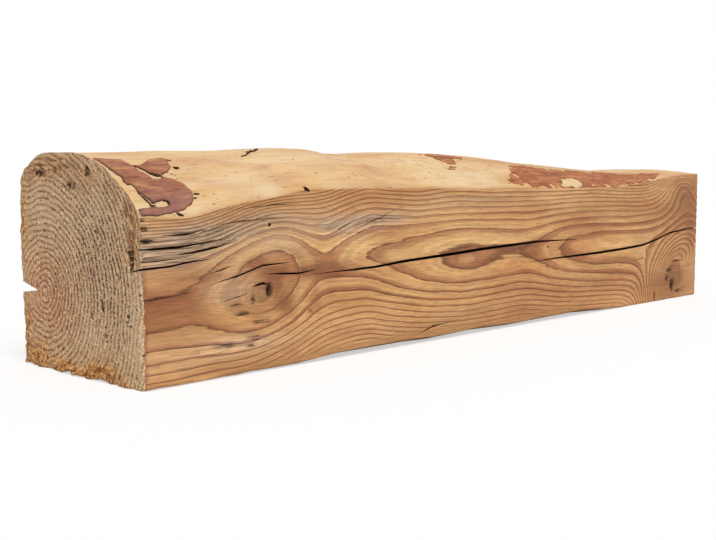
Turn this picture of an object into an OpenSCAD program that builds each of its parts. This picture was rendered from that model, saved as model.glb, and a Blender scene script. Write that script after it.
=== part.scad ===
// Rustic softwood beam: a log sawn flat on the front, back, bed and both ends.
// The top keeps the log's own natural surface, which meets the front face along a wavy edge.
// Drying checks open on the front face and at one back edge.
// Millimetres. X runs along the length, -Y is the front face, Z is up, the bed lies at Z = 0.

/* [Beam] */
// Length between the sawn ends
length = 1000; // [700:10:2000]
// Width between the sawn front and back faces
width = 200; // [150:5:280]
// Height from the bed to the highest point of the natural top
height = 210; // [180:5:300]
// Radius of the eased arrises along the bed
arris_radius = 3; // [1:0.5:6]

/* [Natural top] */
// Distance of the crest behind the middle of the width
crest_offset = 40; // [0:5:60]
// Fullness of the natural surface between the crest and the front edge
front_fullness = 2.8; // [2:0.1:4]
// Drop of the back shoulder below the crest
shoulder_drop = 28; // [10:1:50]
// Fullness of the back shoulder
shoulder_fullness = 3.5; // [2:0.1:5]

/* [Heart] */
// Distance of the pith behind the middle of the width
pith_offset = 52; // [0:1:70]
// Height of the pith above the bed
pith_height = 70; // [40:1:110]

/* [Drying checks] */
// Widest opening of the two long checks
long_check_mouth = 3.5; // [2:0.5:8]
// Depth of the two long checks
long_check_depth = 50; // [20:5:80]
// Widest opening of the short checks
short_check_mouth = 2; // [1:0.5:5]
// Depth of the short checks
short_check_depth = 25; // [10:5:60]
// Opening of the split in the back edge of the near end
split_mouth = 11; // [4:1:16]
// Depth of that split
split_depth = 28; // [10:1:40]

/* [Worn lower edge] */
// Greatest height of the wear along the lower front edge
wear_height = 8.5; // [4:0.5:15]
// Greatest reach of that wear under the bed
wear_reach = 32; // [10:1:45]

/* [Nail holes] */
// Diameter of the old nail hole at the edge of the natural top
nail_diameter = 5; // [3:0.5:8]
// Diameter of the two pin holes in the front face
pin_diameter = 3; // [2:0.5:5]
// Depth of the nail and pin holes
nail_depth = 30; // [10:5:60]

/* [Hidden] */

half_width = width / 2;
front_reach = half_width + crest_offset;
back_reach = half_width - crest_offset;

// How far a cutting shape stands past the face that it cuts
margin = 2;
// Spacing of the log's sections along the length
section_spacing = 25;
section_count = ceil(length / section_spacing);
// Steps across the natural top
across_count = 18;
// Distance over which the hand-set profiles are smoothed
blend = 12;
// Narrowest half opening of a check, at its closed end
check_tip = 0.2;
// Turn between the points of an eased arris
arris_turn = 30;
// Sides of a round hole
round_sides = 32;
// Most walls that one line of sight crosses, which the preview needs
preview_walls = 4;

// Dip of the crest below the full height: [distance from the near end, dip]
crest_dips = [
    [0, 12], [50, 11], [85, 9.5], [105, 7.5], [165, 7], [185, 6], [205, 4], [240, 2], [285, 0],
    [303, 0.5], [316, 7], [340, 5.5], [365, 3], [460, 0.5], [500, 1], [560, 2.5], [600, 5], [640, 8.5],
    [720, 11.5], [800, 15.5], [840, 18.5], [880, 20], [940, 16], [1000, 14]
];

// Drop of the front edge below the full height: [distance from the near end, drop]
edge_drops = [
    [0, 67], [40, 71], [60, 66], [95, 58], [130, 54], [175, 46],
    [240, 44], [640, 45], [765, 43], [865, 33], [940, 25], [1000, 23]
];

// Checks in the front face: [distance from the near end, height above the bed].
// A check that the saw cut through at an end starts before that end.
middle_check = [
    [190, 85], [250, 86], [280, 87], [315, 90], [400, 94], [455, 97], [510, 99], [570, 101], [656, 100]
];
upper_strand = [[128, 89], [150, 88], [170, 87], [195, 89]];
near_check = [[-40, 100], [0, 101], [26, 102], [40, 104], [68, 106]];
knot_check = [[68, 83], [97, 89], [127, 97], [160, 98]];
low_check = [[339, 9], [367, 16], [412, 19]];
// The check that runs out at the far end: [distance from the far end, height above the bed]
far_check = [
    [-4, 105], [10, 105], [45, 103], [87, 100], [124, 92], [168, 85],
    [225, 82], [286, 80], [336, 79], [397, 78], [452, 76]
];
// The split in the back face: [distance from the near end, height above the bed]
back_split = [[-190, 70], [0, 73], [60, 75], [120, 76], [190, 80]];

// Share of the greatest wear along the lower front edge: [distance from the near end, share]
wear_shares = [
    [60, 0], [110, 0.4], [175, 0.46], [240, 0.93], [340, 0.93], [375, 0.76],
    [460, 1], [523, 0.76], [620, 0.92], [675, 1], [746, 0.46], [816, 0]
];

// Old nail hole: distance from the near end, and distance above the edge of the natural top
nail_from_end = 183;
nail_above_edge = 1;
// Pin holes: [distance from the near end, height above the bed]
pin_holes = [[135, 133], [589, 93]];

// A hand-set profile at a distance from the near end, with its corners smoothed
function profile(table, x) =
    (lookup(x - blend, table) + 2 * lookup(x, table) + lookup(x + blend, table)) / 4;

function crest_height(x) = height - profile(crest_dips, x);
function edge_height(x) = height - profile(edge_drops, x);

// Fall of the natural top below the crest, towards the front edge and over the back shoulder
function front_fall(x, y) =
    (crest_height(x) - edge_height(x)) * pow((crest_offset - y) / front_reach, front_fullness);
function back_fall(y) = shoulder_drop * pow((y - crest_offset) / back_reach, shoulder_fullness);

// Height of the natural top over a point of the plan
function top_height(x, y) = crest_height(x) - (y < crest_offset ? front_fall(x, y) : back_fall(y));

// Section of the log at one place: the natural top, closed by two points below the bed
function log_section(x) = concat(
    [for (i = [0 : across_count])
        let (y = -half_width - margin + i * (width + 2 * margin) / across_count)
        [x, y, top_height(x, y)]],
    [[x, half_width + margin, -margin], [x, -half_width - margin, -margin]]
);

// Outline of the sawn cut: two eased arrises at the bed, open above the crest
function sawn_outline() = concat(
    [for (turn = [180 : arris_turn : 270])
        [-half_width + arris_radius * (1 + cos(turn)), arris_radius * (1 + sin(turn))]],
    [for (turn = [270 : arris_turn : 360])
        [half_width - arris_radius * (1 - cos(turn)), arris_radius * (1 + sin(turn))]],
    [[half_width, height + margin], [-half_width, height + margin]]
);

// Closed solid through a row of sections that all have the same number of points
module skin(sections) {
    count = len(sections[0]);
    last = len(sections) - 1;
    sides = [for (i = [0 : last - 1], j = [0 : count - 1])
        let (a = i * count + j, b = i * count + (j + 1) % count)
        each [[a, b, b + count], [a, b + count, a + count]]];
    near_cap = [for (j = [count - 1 : -1 : 0]) j];
    far_cap = [for (j = [0 : count - 1]) last * count + j];
    points = [for (section = sections) each section];
    polyhedron(points, concat(sides, [near_cap, far_cap]), convexity = preview_walls);
}

// The round log, with its natural top
module log() {
    skin([for (i = [0 : section_count]) log_section(-margin + i * (length + 2 * margin) / section_count)]);
}

// The straight cut of the saw along the front, the bed and the back, between the two ends
module saw_cut() {
    rotate([90, 0, 90]) linear_extrude(length) polygon(sawn_outline());
}

// Share of a check's full size along its path: pointed at both ends and widest in the middle
function opening(along) = sqrt(max(sin(180 * along), 0));

// Wedge of a check: widest at the face, narrowing to a line that points to the pith
module check(path, face, mouth, depth) {
    first = path[0][0];
    run = path[len(path) - 1][0] - first;
    outward = sign(face);
    skin([for (place = path)
        let (
            x = place[0],
            z = place[1],
            share = opening((x - first) / run),
            half_mouth = outward * max(mouth / 2 * share, check_tip),
            slope = (pith_height - z) / (pith_offset - face),
            root = face - outward * max(depth * share, margin),
            lip = face + outward * margin
        )
        [[x, lip, z + half_mouth], [x, lip, z - half_mouth], [x, root, z + slope * (root - face)]]]);
}

// A path given from the far end, turned to run from the near end
function from_near_end(path) = [for (i = [len(path) - 1 : -1 : 0]) [length - path[i][0], path[i][1]]];

// All the checks of the front face, and the split of the back face
module checks() {
    check(middle_check, -half_width, long_check_mouth, long_check_depth);
    check(from_near_end(far_check), -half_width, long_check_mouth, long_check_depth);
    check(upper_strand, -half_width, short_check_mouth, short_check_depth);
    check(near_check, -half_width, short_check_mouth, short_check_depth);
    check(knot_check, -half_width, short_check_mouth, short_check_depth);
    check(low_check, -half_width, short_check_mouth, short_check_depth);
    check(back_split, half_width, split_mouth, split_depth);
}

// The worn lower front edge: a slanting cut that grows and fades along the length
module worn_edge() {
    skin([for (place = wear_shares)
        [[place[0], -half_width - margin, -margin],
         [place[0], -half_width - margin, wear_height * place[1] - margin / 2],
         [place[0], -half_width + wear_reach * place[1] - margin / 2, -margin]]]);
}

// The old nail hole and the pin holes, drilled square to the front face
module nail_holes() {
    nail_z = edge_height(nail_from_end) + nail_above_edge;
    translate([nail_from_end, -half_width - margin, nail_z])
        rotate([-90, 0, 0]) cylinder(h = nail_depth + margin, d = nail_diameter, $fn = round_sides);
    for (hole = pin_holes)
        translate([hole[0], -half_width - margin, hole[1]])
            rotate([-90, 0, 0]) cylinder(h = nail_depth + margin, d = pin_diameter, $fn = round_sides);
}

// The beam: one piece of wood
module beam() {
    color("burlywood")
        translate([-length / 2, 0, 0])
            difference() {
                intersection() {
                    log();
                    saw_cut();
                }
                checks();
                worn_edge();
                nail_holes();
            }
}

beam();
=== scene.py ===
# %% [markdown]
# # A rustic softwood beam
# This lesson dresses one sawn timber beam: a log that the saw has squared on the front, the back,
# the bed and both ends, with the tree's own surface left along the top.
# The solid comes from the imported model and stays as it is. Everything here is about its looks.
# All sizes below are millimetres until the last moment, because a carpenter would measure them so.

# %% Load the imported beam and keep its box
import itertools
import math

import bmesh
import bpy
import numpy as np
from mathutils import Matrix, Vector
from mathutils.bvhtree import BVHTree


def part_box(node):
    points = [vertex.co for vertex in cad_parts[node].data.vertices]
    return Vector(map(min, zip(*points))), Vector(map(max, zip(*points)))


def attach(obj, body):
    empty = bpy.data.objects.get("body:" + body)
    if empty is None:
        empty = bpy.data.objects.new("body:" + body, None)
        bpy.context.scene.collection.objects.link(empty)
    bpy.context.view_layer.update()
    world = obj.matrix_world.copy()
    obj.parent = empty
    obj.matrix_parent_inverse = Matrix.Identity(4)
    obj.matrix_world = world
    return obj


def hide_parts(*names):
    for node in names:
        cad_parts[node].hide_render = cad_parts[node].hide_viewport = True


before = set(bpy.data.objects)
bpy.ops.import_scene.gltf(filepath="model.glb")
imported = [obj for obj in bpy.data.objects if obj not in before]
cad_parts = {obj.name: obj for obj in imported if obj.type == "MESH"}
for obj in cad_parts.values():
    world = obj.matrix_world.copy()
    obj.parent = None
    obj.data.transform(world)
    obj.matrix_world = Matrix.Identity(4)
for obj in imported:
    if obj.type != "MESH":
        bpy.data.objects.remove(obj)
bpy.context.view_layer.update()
MM = 0.001
low_corner, high_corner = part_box("beam")
LENGTH, WIDTH, HEIGHT = (high_corner - low_corner) / MM
print(f"the beam is {LENGTH:.0f} mm long, {WIDTH:.0f} mm wide and {HEIGHT:.0f} mm high")

# %% [markdown]
# ## Where the camera stands
# The photograph was taken from low down at the near left corner, so both the end grain and the
# front face show. A camera has a place, a turn and a lens, and here they are set from the
# vanishing lines of the beam's long edges. It is made first.

# %% Camera
CAMERA_PLACE = (-0.9317, -0.7648, 0.1671)
CAMERA_YAW = 44.28
CAMERA_PITCH = -4.93
CAMERA_LENS = 48.35

camera_data = bpy.data.cameras.new("photo_camera")
camera_data.lens = CAMERA_LENS
camera = bpy.data.objects.new("photo_camera", camera_data)
camera.location = CAMERA_PLACE
camera.rotation_euler = (math.radians(90 + CAMERA_PITCH), 0, math.radians(CAMERA_YAW - 90))
bpy.context.scene.collection.objects.link(camera)
bpy.context.scene.camera = camera
bpy.context.scene.view_settings.view_transform = "Standard"
print("camera", tuple(round(part, 3) for part in camera.location))

# %% [markdown]
# ## Measuring along the beam
# Wood is easiest to describe from its own faces: how far along the beam from the near end, how
# deep behind the front face, and how high above the bed. One function turns points into those
# three numbers. A second gives smooth noise from a seeded table, so each run is the same.

# %% Places on the beam and seeded noise
X, Y, Z = range(3)
NOISE_CELLS = 32
# A cell so long that noise hardly changes along its axis
EVEN = 400
# Places that a line through given points is averaged over: their number, farthest reach and blend
LINE_SAMPLES, LINE_REACH, LINE_BLEND = 7, 21, 14


def beam_places(points):
    """Points in metres as millimetres along the beam, behind its front face and above its bed."""
    return (np.asarray(points, float) - np.array(low_corner)) / MM


def noise_at(places, cell, seed):
    """Smooth noise from 0 to 1, with cells of the given size in millimetres along each axis."""
    table = np.random.default_rng(seed).random((NOISE_CELLS,) * 3)
    scaled = places / np.array(cell, float)
    corner = np.floor(scaled).astype(int)
    share = scaled - corner
    share = share * share * (3 - 2 * share)
    total = np.zeros(len(places))
    for step in itertools.product((0, 1), repeat=3):
        weight = np.where(step, share, 1 - share).prod(axis=1)
        index = (corner + step) % NOISE_CELLS
        total += weight * table[index[:, 0], index[:, 1], index[:, 2]]
    return total


def uneven(places, recipe):
    """Noise about zero from a recipe: its full span, the size of its cells and its seed."""
    span, cell, seed = recipe
    return span * (noise_at(places, cell, seed) - 0.5)


def fade(value, start, end):
    """Smooth step from 0 at start to 1 at end."""
    share = np.clip((value - start) / (end - start), 0, 1)
    return share * share * (3 - 2 * share)


def spots(first, second, patches):
    """Sum of soft oval spots: each is centre, centre, reach, reach and strength."""
    total = np.zeros(len(first))
    for centre_a, centre_b, reach_a, reach_b, strength in patches:
        away = ((first - centre_a) / reach_a) ** 2 + ((second - centre_b) / reach_b) ** 2
        total += strength * np.exp(-away)
    return total


def smooth_line(points, along):
    """A line through given points, with its corners rounded."""
    places, values = zip(*points)
    offsets = np.linspace(-LINE_REACH, LINE_REACH, LINE_SAMPLES)
    weights = np.exp(-(offsets / LINE_BLEND) ** 2)
    layers = [np.interp(along + offset, places, values) for offset in offsets]
    return np.average(layers, axis=0, weights=weights)


print("the far corner lies at", beam_places([high_corner])[0].round())

# %% [markdown]
# ## The growth rings
# The figure on a flat-sawn face is nothing but a log's yearly layers cut by a plane. So the figure
# is not painted here: each point of the wood gets a ring number, and lines appear where the number
# passes a whole year. The pith wanders a little along the log, the layers swell and shrink, and
# they dive round each knot. These listed values give the loops and the long island of the photograph.

# %% Ring number of every point
PITH_DEPTH = 152
RING_WIDTH = 6.0
RING_CROWDING = 0.00083
# The last years grew slower on the upper side: height above the pith where that starts, and its span
SLOW_START, SLOW_SPAN = 34, 30
# Extra rings of that slow growth: distance from the near end, rings
SLOW_LINE = [(0, 1.5), (290, 1.3), (390, 0.1), (600, 0.25), (1000, 0.3)]
# Height of the pith along the beam: distance from the near end, height
PITH_LINE = [
    (0, 61), (50, 62), (127, 74), (190, 88), (240, 99), (266, 102), (300, 97), (350, 92),
    (450, 90), (540, 91), (611, 88), (700, 86), (800, 83), (1000, 80),
]
# Swelling of the yearly layers along the beam, counted in rings
SWELL_LINE = [
    (0, 3.76), (45, 3.76), (68, 3.45), (90, 2.85), (112, 2.42), (145, 2.45), (168, 2.85), (186, 3.55),
    (200, 3.95), (212, 3.92), (226, 3.7), (245, 3.32), (266, 3.0), (300, 2.62), (340, 2.3), (373, 2.0),
    (400, 1.8), (425, 1.7), (450, 1.78), (490, 1.88), (535, 1.96), (560, 1.75), (590, 1.3), (611, 1.0),
    (650, 0.62), (720, 0.35), (800, 0.25), (1000, 0.2),
]
# Knots and waves that the rings dive round: distance along, height, reach along, reach up, lean, rings
RING_WELLS = [
    (126, 71, 12, 10, 0, 1.0), (20, 112, 80, 22, 0, 1.6), (130, 140, 45, 30, 0, 2.2),
    (422, 87, 14, 6, 0, 0.4), (887, -10, 66, 85, 0.75, 17), (957, 182, 72, 44, 0, 10.2),
    (963, 145, 6, 11, 0, 1.2), (750, 99, 60, 9, 0, 0.42), (648, 93, 24, 9, 0, 0.3),
]
WELL_DEPTH = 60
# Wander of the rings: strength in rings, size of its waves in millimetres, seed
RING_WANDER = [(0.24, (70, 60, 14), 3), (0.1, (26, 30, 7), 4)]
# Parts of a year over which the latewood builds up, and then stops
LATE_START, LATE_END = (0.42, 0.75), (0.93, 1.0)


def ring_wells(along, height):
    """Rings by which the yearly layers are pushed in round the knots."""
    total = np.zeros(len(along))
    for centre, level, reach, rise, lean, rings in RING_WELLS:
        up = height - level
        total += rings * np.exp(-((along - centre - lean * up) / reach) ** 2 - (up / rise) ** 2)
    return total


def rings_within(distance):
    """Rings between the pith and a distance from it: they crowd towards the bark."""
    return distance / RING_WIDTH + RING_CROWDING * distance ** 2


def ring_number(places):
    """Ring number at each place, counted from the layer that just touches the front face."""
    along, depth, height = places.T
    above = height - smooth_line(PITH_LINE, along)
    rings = rings_within(np.hypot(PITH_DEPTH - depth, above)) - rings_within(PITH_DEPTH)
    rings += smooth_line(SWELL_LINE, along)
    rings += smooth_line(SLOW_LINE, along) * np.maximum((above - SLOW_START) / SLOW_SPAN, 0) ** 2
    rings -= ring_wells(along, height) * np.exp(-(depth / WELL_DEPTH) ** 2)
    return rings + sum(uneven(places, recipe) for recipe in RING_WANDER)


def latewood(rings):
    """Share of hard dark latewood: it builds up late in the year and stops sharply in winter."""
    year = rings % 1.0
    return fade(year, *LATE_START) * (1 - fade(year, *LATE_END))


print("rings between pith and front face:", round(rings_within(PITH_DEPTH)))

# %% [markdown]
# ## Cutting the fine drying checks
# Wood shrinks most round its rings, so a drying beam cracks along the grain. The large checks are
# already in the solid. The fine ones are cut here with thin wedges: each wedge starts as one
# triangle that is extruded from point to point, and a Boolean takes them all out at once.

# %% Wedges for the fine checks
# Fine checks of the front face: widest opening, depth, then places along and up
FINE_CHECKS = [
    (2.3, 14, [(-20, 116), (10, 116.5), (33, 117), (60, 119.5), (80, 122)]),
    (2.2, 12, [(31, 110.5), (50, 112), (75, 115.5), (100, 121)]),
    (2.0, 10, [(20, 127), (42, 127.5), (64, 131)]),
    (1.4, 9, [(76, 134), (100, 137), (160, 140)]),
    (1.3, 8, [(-20, 106), (15, 106.5), (48, 108.5)]),
    (1.5, 9, [(68, 93), (80, 95.5), (95, 99)]),
    (1.0, 7, [(222, 121), (256, 122.5)]),
    (1.4, 8, [(248, 126), (276, 134), (318, 148)]),
    (1.4, 8, [(26, 26.5), (58, 25)]),
    (1.4, 8, [(58, 20.5), (88, 24.5)]),
    (1.0, 6, [(-20, 75), (10, 75), (46, 78)]),
    (1.1, 6, [(84, 67), (97, 70), (114, 73)]),
    (1.2, 8, [(105, 148), (140, 151), (172, 152)]),
    (1.0, 6, [(712, 39), (738, 37)]),
    (1.0, 7, [(804, 63), (822, 65), (840, 66)]),
    (1.2, 8, [(972, 79), (1000, 79), (1020, 79)]),
    (3.0, 9, [(115, 77.5), (121, 79.5), (128, 80.5), (135.5, 78.5)]),
    (1.2, 7, [(909, 33), (915, 45), (921, 49), (936, 50)]),
    (1.6, 9, [(918, 30), (924, 24), (930, 11)]),
    (1.0, 6, [(934, 12), (948, 13), (966, 16)]),
]
CHECK_LIP = 2.0
CHECK_TIP = 0.12


def wedge_points(mouth, depth, share, place):
    """Corners of the wedge's triangle at one place of its path, in metres."""
    along, height = place
    opening = math.sqrt(max(math.sin(math.pi * share), 0))
    half = max(mouth / 2 * opening, CHECK_TIP)
    root = max(depth * opening, CHECK_LIP)
    corners = [(along, -CHECK_LIP, height + half), (along, -CHECK_LIP, height - half), (along, root, height)]
    return [low_corner + Vector(corner) * MM for corner in corners]


def add_wedge(bm, path, mouth, depth):
    """One check: a triangle extruded along its path. Only the first and last triangles are kept."""
    first, last = path[0][X], path[-1][X]
    face = bm.faces.new([bm.verts.new(point) for point in wedge_points(mouth, depth, 0, path[0])])
    for step, place in enumerate(path[1:]):
        grown = bmesh.ops.extrude_face_region(bm, geom=[face])["geom"]
        if step:
            bmesh.ops.delete(bm, geom=[face], context="FACES_ONLY")
        face = next(part for part in grown if isinstance(part, bmesh.types.BMFace))
        share = (place[X] - first) / (last - first)
        for vert, point in zip(face.verts, wedge_points(mouth, depth, share, place)):
            vert.co = point


def new_object(name, bm):
    """A mesh object from a bmesh, which is freed."""
    mesh = bpy.data.meshes.new(name)
    bm.to_mesh(mesh)
    bm.free()
    made = bpy.data.objects.new(name, mesh)
    bpy.context.scene.collection.objects.link(made)
    return made


wedges = bmesh.new()
for mouth, depth, path in FINE_CHECKS:
    add_wedge(wedges, path, mouth, depth)
bmesh.ops.recalc_face_normals(wedges, faces=wedges.faces)
print(len(FINE_CHECKS), "wedges, open edges:", sum(not edge.is_manifold for edge in wedges.edges))
wedge_object = new_object("check_wedges", wedges)

# %% Cut the wedges out of a copy of the solid
# Vertices nearer than this, in metres, are one
MERGE_ROOM = 1e-6

blank = bmesh.new()
blank.from_mesh(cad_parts["beam"].data)
bmesh.ops.remove_doubles(blank, verts=blank.verts, dist=MERGE_ROOM)
beam = new_object("beam_timber", blank)
cut = beam.modifiers.new("fine_checks", "BOOLEAN")
cut.operation = "DIFFERENCE"
cut.solver = "MANIFOLD"
cut.object = wedge_object
cut_mesh = bpy.data.meshes.new_from_object(beam.evaluated_get(bpy.context.evaluated_depsgraph_get()))
beam.modifiers.remove(cut)
bpy.data.objects.remove(wedge_object)
print("triangles before and after the cut:", len(beam.data.polygons), len(cut_mesh.polygons))

# %% [markdown]
# ## Naming the surfaces
# Before the mesh is made fine, each face is told what it is: a sawn face, end grain, the natural
# top or the wall of a check. On the plain solid that takes only its direction and place, and every
# smaller face that is cut from it later keeps the material number of its parent.

# %% Sort the faces by what the saw or the tree made
SAWN, END_GRAIN, NATURAL_TOP, CHECK_WALL = range(4)
FLAT = 0.2
# Least part of a normal along an axis when a face is square to it, slants towards it or just rises
SQUARE, SLANTED, RISING = 0.9, 0.2, 0.05
# Turn between two faces that still count as one, in radians
FLAT_TURN = 0.001
LOWEST_WANE = 134.0
NAIL_HOLE = (183, 165)
NAIL_ROOM = 4.5
NAIL_DEPTH = 40
EASED_EDGE = 12.0


def surface_of(face):
    """Material number of a face of the plain solid."""
    along, depth, height = beam_places([face.calc_center_median()])[0]
    normal = face.normal
    if min(along, LENGTH - along) < FLAT and abs(normal.x) > SQUARE:
        return END_GRAIN
    if min(depth, WIDTH - depth) < FLAT and abs(normal.y) > SQUARE:
        return SAWN
    if height < EASED_EDGE and normal.z < -SLANTED:
        return SAWN
    if height < EASED_EDGE and min(depth, WIDTH - depth) < EASED_EDGE and abs(normal.y) > SLANTED:
        return SAWN
    in_nail_hole = math.hypot(along - NAIL_HOLE[0], height - NAIL_HOLE[1]) < NAIL_ROOM and depth < NAIL_DEPTH
    if height > LOWEST_WANE and normal.z > RISING and not in_nail_hole:
        return NATURAL_TOP
    return CHECK_WALL


body = bmesh.new()
body.from_mesh(cut_mesh)
bmesh.ops.remove_doubles(body, verts=body.verts, dist=MERGE_ROOM)
for face in body.faces:
    face.material_index = surface_of(face)
bmesh.ops.dissolve_limit(
    body, angle_limit=FLAT_TURN, use_dissolve_boundaries=False, verts=body.verts, edges=body.edges,
    delimit={"MATERIAL"},
)
counts = [sum(face.material_index == kind for face in body.faces) for kind in range(4)]
print("sawn, end grain, natural top and check faces:", counts)

# %% [markdown]
# ## A fine even mesh
# Relief needs vertices. Subdividing long thin triangles would give a poor mesh, so the solid is
# sliced instead by parallel planes, as a loaf is. Each cut handles only the faces near it, because
# the list of planes is halved again and again. The front gets the finest mesh, the bed the coarsest.

# %% Slice the faces by planes
# Spacing of the slices in millimetres
SLICE_ALONG = 2.6
SLICE_FRONT = 2.1
SLICE_TOP = 4.0
SLICE_NEAR_END = 2.0
SLICE_FAR_END = 4.0
SLICE_BACK = 5.0
SLICE_BED = 8.0
# How near to a plane a vertex counts as lying in it, in metres
PLANE_ROOM = 1e-7
# Least part of the normal along an axis for the faces that look that way
FACING = 0.5


def planes(axis, spacing):
    """Places of the cutting planes along one axis, in metres."""
    count = round((high_corner[axis] - low_corner[axis]) / MM / spacing)
    return list(np.linspace(low_corner[axis], high_corner[axis], count + 1)[1:-1])


def slice_faces(faces, axis, places):
    """Cuts faces by planes square to an axis, halving the planes so that each cut stays small."""
    if not places or not faces:
        return
    middle = len(places) // 2
    normal = Vector((0, 0, 0))
    normal[axis] = 1
    edges = list(dict.fromkeys(edge for face in faces for edge in face.edges))
    verts = list(dict.fromkeys(vert for face in faces for vert in face.verts))
    parts = bmesh.ops.bisect_plane(
        body, geom=verts + edges + faces, dist=PLANE_ROOM, plane_co=normal * places[middle], plane_no=normal
    )["geom"]
    parts = [part for part in parts if isinstance(part, bmesh.types.BMFace)]
    below = [part for part in parts if part.calc_center_median()[axis] < places[middle]]
    above = [part for part in parts if part.calc_center_median()[axis] >= places[middle]]
    slice_faces(below, axis, places[:middle])
    slice_faces(above, axis, places[middle + 1:])


def faces_of(kind, test):
    """Faces of one material that pass a test on their normal."""
    return [face for face in body.faces if face.material_index == kind and test(face.normal)]


slice_faces([face for face in body.faces if face.material_index != END_GRAIN], X, planes(X, SLICE_ALONG))
slice_faces(faces_of(SAWN, lambda normal: normal.y < -FACING), Z, planes(Z, SLICE_FRONT))
slice_faces(faces_of(SAWN, lambda normal: normal.y > FACING), Z, planes(Z, SLICE_BACK))
slice_faces(faces_of(SAWN, lambda normal: normal.z < -FACING), Y, planes(Y, SLICE_BED))
slice_faces(faces_of(NATURAL_TOP, lambda normal: True), Y, planes(Y, SLICE_TOP))
for axis in (Z, Y):
    slice_faces(faces_of(END_GRAIN, lambda normal: normal.x < 0), axis, planes(axis, SLICE_NEAR_END))
    slice_faces(faces_of(END_GRAIN, lambda normal: normal.x > 0), axis, planes(axis, SLICE_FAR_END))
print("faces:", len(body.faces), "open edges:", sum(not edge.is_manifold for edge in body.edges))

# %% [markdown]
# ## Softening the natural top
# The solid's top is made of flat facets, which would show as creases. The old edges of the facets
# are dissolved first, so that only the even grid of the slices is left. Then each inner vertex is
# levelled with its neighbours a few dozen times, where near neighbours count more than far ones.

# %% Melt the facets of the natural top
MELT_ROUNDS = 50
MELT_SHARE = 0.5
# How far from a slice an edge may lie and still belong to it, as a share of the spacing
SLICE_ROOM = 0.01


def on_top(part):
    """Whether a vertex or an edge lies inside the natural top."""
    return all(face.material_index == NATURAL_TOP for face in part.link_faces)


def in_slice(edge, axis, spacing):
    """Whether an edge lies in one of the cutting planes square to an axis."""
    first, last = [(vert.co[axis] - low_corner[axis]) / spacing for vert in edge.verts]
    return abs(first - last) < SLICE_ROOM and abs(first - round(first)) < SLICE_ROOM


def melt(verts):
    """Levels the heights of vertices with those of their neighbours."""
    body.verts.index_update()
    links = [(vert.index, edge.other_vert(vert).index) for vert in verts for edge in vert.link_edges]
    owner, other = np.array(links).T
    nearness = np.array([1 / edge.calc_length() for vert in verts for edge in vert.link_edges])
    inner = np.array([vert.index for vert in verts])
    heights = np.array([vert.co.z for vert in body.verts])
    total = np.bincount(owner, nearness, len(heights))[inner]
    for _ in range(MELT_ROUNDS):
        level = np.bincount(owner, nearness * heights[other], len(heights))[inner] / total
        heights[inner] += MELT_SHARE * (level - heights[inner])
    for vert in verts:
        vert.co.z = heights[vert.index]


spacings = {
    axis: planes(axis, spacing)[0] - low_corner[axis]
    for axis, spacing in ((X, SLICE_ALONG), (Y, SLICE_TOP))
}
facet_edges = [
    edge for edge in body.edges
    if on_top(edge) and not any(in_slice(edge, axis, spacing) for axis, spacing in spacings.items())
]
bmesh.ops.dissolve_edges(body, edges=facet_edges, use_verts=True)
inner_top = [vert for vert in body.verts if on_top(vert)]
melt(inner_top)
triangles = sum(len(face.verts) - 2 for face in body.faces)
print("levelled:", len(inner_top), "of", len(body.verts), "vertices, triangles:", triangles)

# %% [markdown]
# ## Weather, knots and wear on the front face
# Sun and rain have greyed the upper corner, heartwood shows brown in places, and the saw has torn
# the grain round the knots. Each of these is a mask: a number at every vertex that is built from
# soft oval spots. The relief and the material both read the same masks, so a torn spot is deep and
# dark in the same place.
# The near-black of the deepest tears is painted shade in the tear.

# %% Masks of the front face
# Grey weathering: distance along, height, reach along, reach up, strength
GREY_PATCHES = [
    (15, 113, 60, 15, 1.0), (75, 124, 45, 12, 0.9), (125, 138, 60, 9, 0.6), (228, 130, 46, 11, 0.85),
    (292, 136, 44, 7, 0.8), (90, 80, 26, 16, 0.6), (105, 28, 45, 9, 0.6), (35, 24, 40, 8, 0.35),
    (430, 151, 110, 8, 0.4), (150, 118, 30, 12, 0.4),
]
# Brown heartwood, in the same form; the thin strip at the near end, at height 50, is painted shade along the
# rolled arris
BROWN_PATCHES = [
    (0, 68, 62, 17, 1.0), (55, 91, 34, 6, 0.6), (119, 99, 12, 6, 1.0), (155, 59, 12, 8, 1.0),
    (142, 90, 16, 6, 1.0), (190, 89, 24, 6, 1.0), (218, 87, 30, 9, 1.0), (193, 62, 6, 11, 0.5),
    (410, 92, 32, 10, 0.45), (139, 77, 14, 11, 1.0), (20, 45, 40, 10, 0.3), (958, 154, 46, 26, 0.75),
    (984, 100, 24, 34, 0.65), (128, 76, 24, 20, 0.4), (500, 95, 40, 5, 0.3), (625, 88, 18, 8, 0.35),
    (905, 24, 38, 20, 0.7), (934, 36, 22, 17, 0.9), (930, 118, 50, 14, 0.3), (800, 135, 150, 32, 0.25),
    (640, 40, 200, 22, 0.32), (400, 18, 160, 12, 0.4), (110, 12, 70, 10, 0.35), (800, 42, 70, 20, 0.2),
    # The strip at the near end, (0, 50), is painted shade along the rolled front arris
    (930, 36, 18, 15, 0.9), (0, 50, 3, 62, 1.2), (172, 105, 20, 7, 0.5),
]
# Light honey-coloured wood, in the same form
HONEY_PATCHES = [
    (303, 96, 30, 8, 0.9), (376, 104, 45, 6, 0.9), (466, 108, 50, 5, 0.8), (737, 88, 40, 8, 0.7),
    (820, 92, 40, 7, 0.7), (92, 66, 26, 14, 0.6), (172, 60, 9, 18, 0.6), (305, 57, 50, 7, 0.5),
    (250, 110, 30, 10, 0.5),
]
# Places where wear has rubbed the rings away
RUBBED_PATCHES = [
    (897, 16, 34, 20, 1.0), (938, 30, 24, 20, 1.0), (980, 30, 26, 24, 0.8), (86, 74, 22, 16, 0.8),
    (104, 64, 16, 14, 1.0), (120, 55, 10, 5, 0.7), (134, 78, 30, 26, 0.45),
]
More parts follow.
